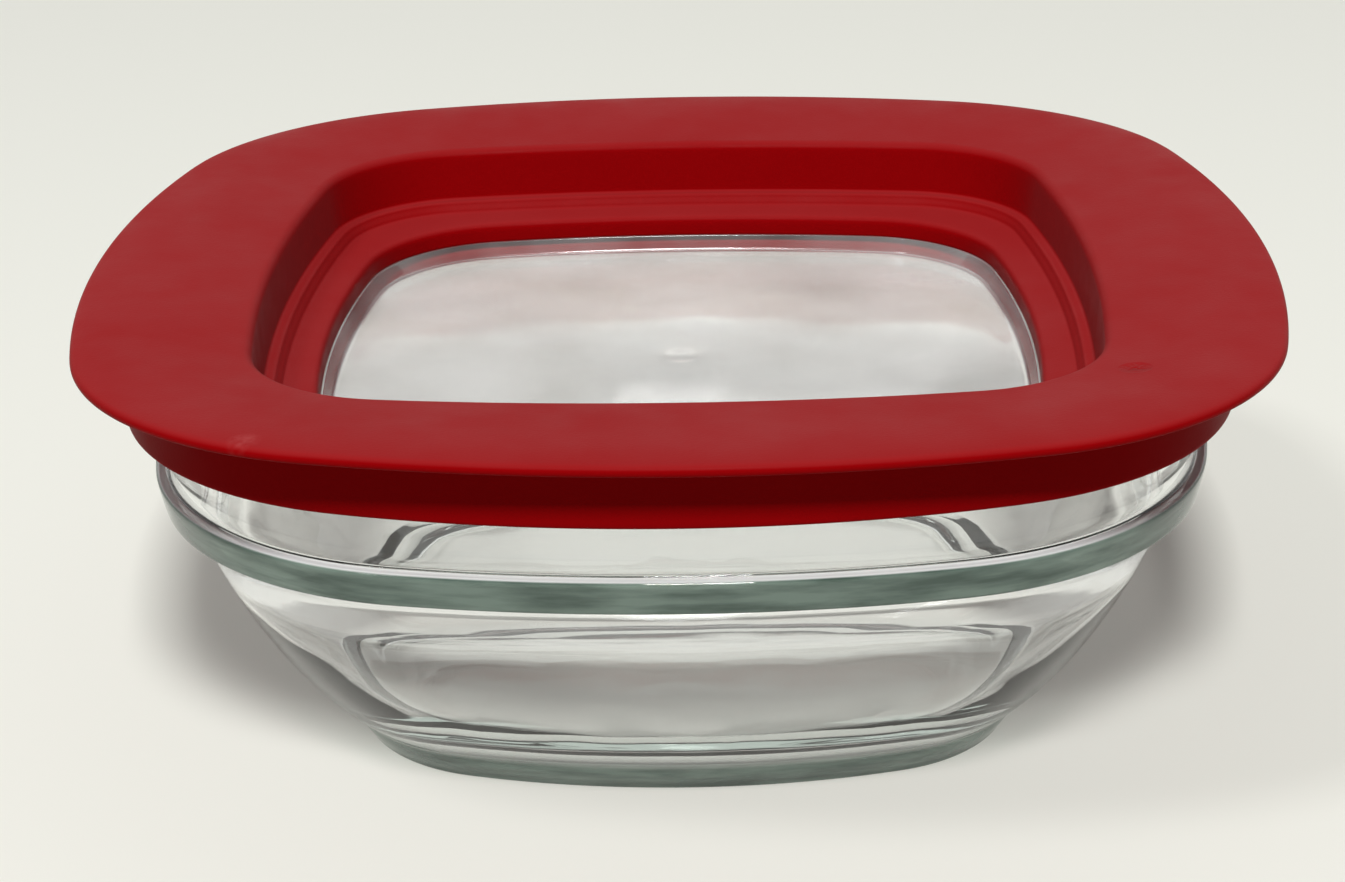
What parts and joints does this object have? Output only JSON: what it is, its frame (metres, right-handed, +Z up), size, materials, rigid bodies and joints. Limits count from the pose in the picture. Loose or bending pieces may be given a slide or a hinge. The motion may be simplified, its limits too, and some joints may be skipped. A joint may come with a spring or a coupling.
{
  "type": "glass food storage container",
  "caption": "Square round-cornered glass food container with a bead round its shoulder and a foot ring, closed by a lift-off soft rim lid with a stepped well and a clear window.",
  "frame": {"origin": "centre of the face that the bowl's foot ring stands on", "axes": "+Z up through the bowl and lid; +X and +Y to the middles of two sides of the square, with the pictured side facing -Y"},
  "size_m": [0.184, 0.184, 0.0684],
  "materials": {
    "pressed_glass": "clear pressed glass with a faint green tint in its thick parts",
    "soft_red_plastic": "soft satin moulded plastic",
    "clear_plastic": "clear moulded plastic, slightly hazy"
  },
  "bodies": {
    "bowl": {"glass_bowl": "pressed_glass"},
    "lid": {"lid_rim": "soft_red_plastic", "lid_window": "clear_plastic"}
  },
  "joints": [
    {"name": "lid_lift", "type": "slide", "parent": "bowl", "child": "lid", "axis": [0, 0, 1], "range_m": [0, 0.08]}
  ]
}
